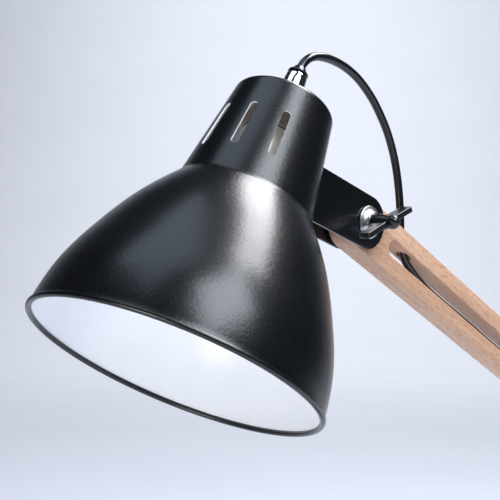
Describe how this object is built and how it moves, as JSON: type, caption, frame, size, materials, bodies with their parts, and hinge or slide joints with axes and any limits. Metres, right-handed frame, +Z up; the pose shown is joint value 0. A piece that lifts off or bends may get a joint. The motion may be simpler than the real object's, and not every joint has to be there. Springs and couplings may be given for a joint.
{
  "type": "table lamp",
  "caption": "Table lamp with a black bell shade on two hinged, slotted wooden arms, black wing nuts, a round black base and a lead that runs through the arms",
  "frame": {"origin": "middle of the base pad's underside, on the table", "axes": "+Z up; +X along the arms, away from the lamp's head; +Y across the arms, away from the wing nuts"},
  "size_m": [0.6466, 0.3115, 0.5975],
  "materials": {
    "satin_black_paint": "satin",
    "beech": "oiled",
    "chrome": "polished",
    "satin_steel": "satin",
    "black_nylon": "gloss",
    "black_pvc": "smooth",
    "black_rubber": "matte",
    "porcelain": "glazed",
    "brass": "satin",
    "opal": "opal",
    "bulb_cap_metal": "satin",
    "cast_iron": "rough"
  },
  "bodies": {
    "base": {"base_pad": "black_rubber", "base_weight": "cast_iron", "base_cover": "satin_black_paint", "base_fork": "satin_black_paint", "fork_screw_front": "satin_steel", "fork_screw_rear": "satin_steel", "base_bolt": "satin_steel", "base_spacer_near": "black_nylon", "base_spacer_far": "black_nylon", "base_cone_washer": "satin_steel", "base_grommet": "black_rubber", "base_strain_relief": "black_rubber", "base_inner_lead": "black_pvc", "base_lead": "black_pvc", "mains_lead_run": "black_pvc", "switch_bottom": "black_nylon", "switch_top": "black_nylon", "mains_lead_tail": "black_pvc", "mains_lead_coil": "black_pvc", "coil_tie": "black_nylon", "mains_lead_end": "black_pvc", "plug_body": "black_rubber", "plug_pin_left": "brass", "plug_pin_right": "brass"},
    "base_wings": {"base_wing_nut": "black_nylon"},
    "switch_key": {"switch_rocker": "black_nylon"},
    "lower_arm": {"lower_arm": "beech", "lower_arm_lead": "black_pvc", "elbow_plate_near": "satin_black_paint", "elbow_plate_far": "satin_black_paint", "elbow_rivet_low": "satin_steel", "elbow_rivet_high": "satin_steel", "elbow_bolt": "satin_steel", "elbow_spacer_near": "black_nylon", "elbow_spacer_far": "black_nylon", "elbow_cone_washer": "satin_steel", "elbow_lead": "black_pvc"},
    "elbow_wings": {"elbow_wing_nut": "black_nylon"},
    "upper_arm": {"upper_arm": "beech", "upper_arm_lead": "black_pvc", "head_lead": "black_pvc"},
    "head": {"shade": "satin_black_paint", "shade_bracket": "satin_black_paint", "bracket_rivet_low": "satin_steel", "bracket_rivet_high": "satin_steel", "head_bolt": "satin_steel", "head_spacer_near": "black_nylon", "head_spacer_far": "black_nylon", "head_cone_washer": "satin_steel", "cable_gland": "chrome", "cord_grip": "black_nylon", "threaded_nipple": "brass", "lock_nut": "satin_steel", "holder_cover": "brass", "holder_body": "porcelain", "screw_shell": "brass", "centre_contact": "brass", "bulb_globe": "opal", "bulb_cap": "bulb_cap_metal"},
    "head_wings": {"head_wing_nut": "black_nylon"}
  },
  "joints": [
    {"name": "foot_hinge", "type": "hinge", "parent": "base", "child": "lower_arm", "pos_m": [0, 0, 0.0508], "axis": [0, 1, 0], "range_deg": [-24, 26], "deforming": ["base_lead"]},
    {"name": "elbow_hinge", "type": "hinge", "parent": "lower_arm", "child": "upper_arm", "pos_m": [0.13422, 0, 0.35227], "axis": [0, 1, 0], "range_deg": [-35, 80], "deforming": ["elbow_lead"]},
    {"name": "head_tilt", "type": "hinge", "parent": "upper_arm", "child": "head", "pos_m": [-0.16551, 0, 0.49032], "axis": [0, 1, 0], "range_deg": [-75, 50], "deforming": ["head_lead"]},
    {"name": "base_wings_turn", "type": "hinge", "parent": "base", "child": "base_wings", "pos_m": [0, 0, 0.0508], "axis": [0, 1, 0], "range_deg": [0, 180]},
    {"name": "elbow_wings_turn", "type": "hinge", "parent": "lower_arm", "child": "elbow_wings", "pos_m": [0.13422, 0, 0.35227], "axis": [0, 1, 0], "range_deg": [0, 180]},
    {"name": "head_wings_turn", "type": "hinge", "parent": "head", "child": "head_wings", "pos_m": [-0.16551, 0, 0.49032], "axis": [0, 1, 0], "range_deg": [0, 180]},
    {"name": "switch_key_rock", "type": "hinge", "parent": "base", "child": "switch_key", "pos_m": [0.105, 0.127, 0.018], "axis": [0, -1, 0], "range_deg": [0, 14]}
  ]
}
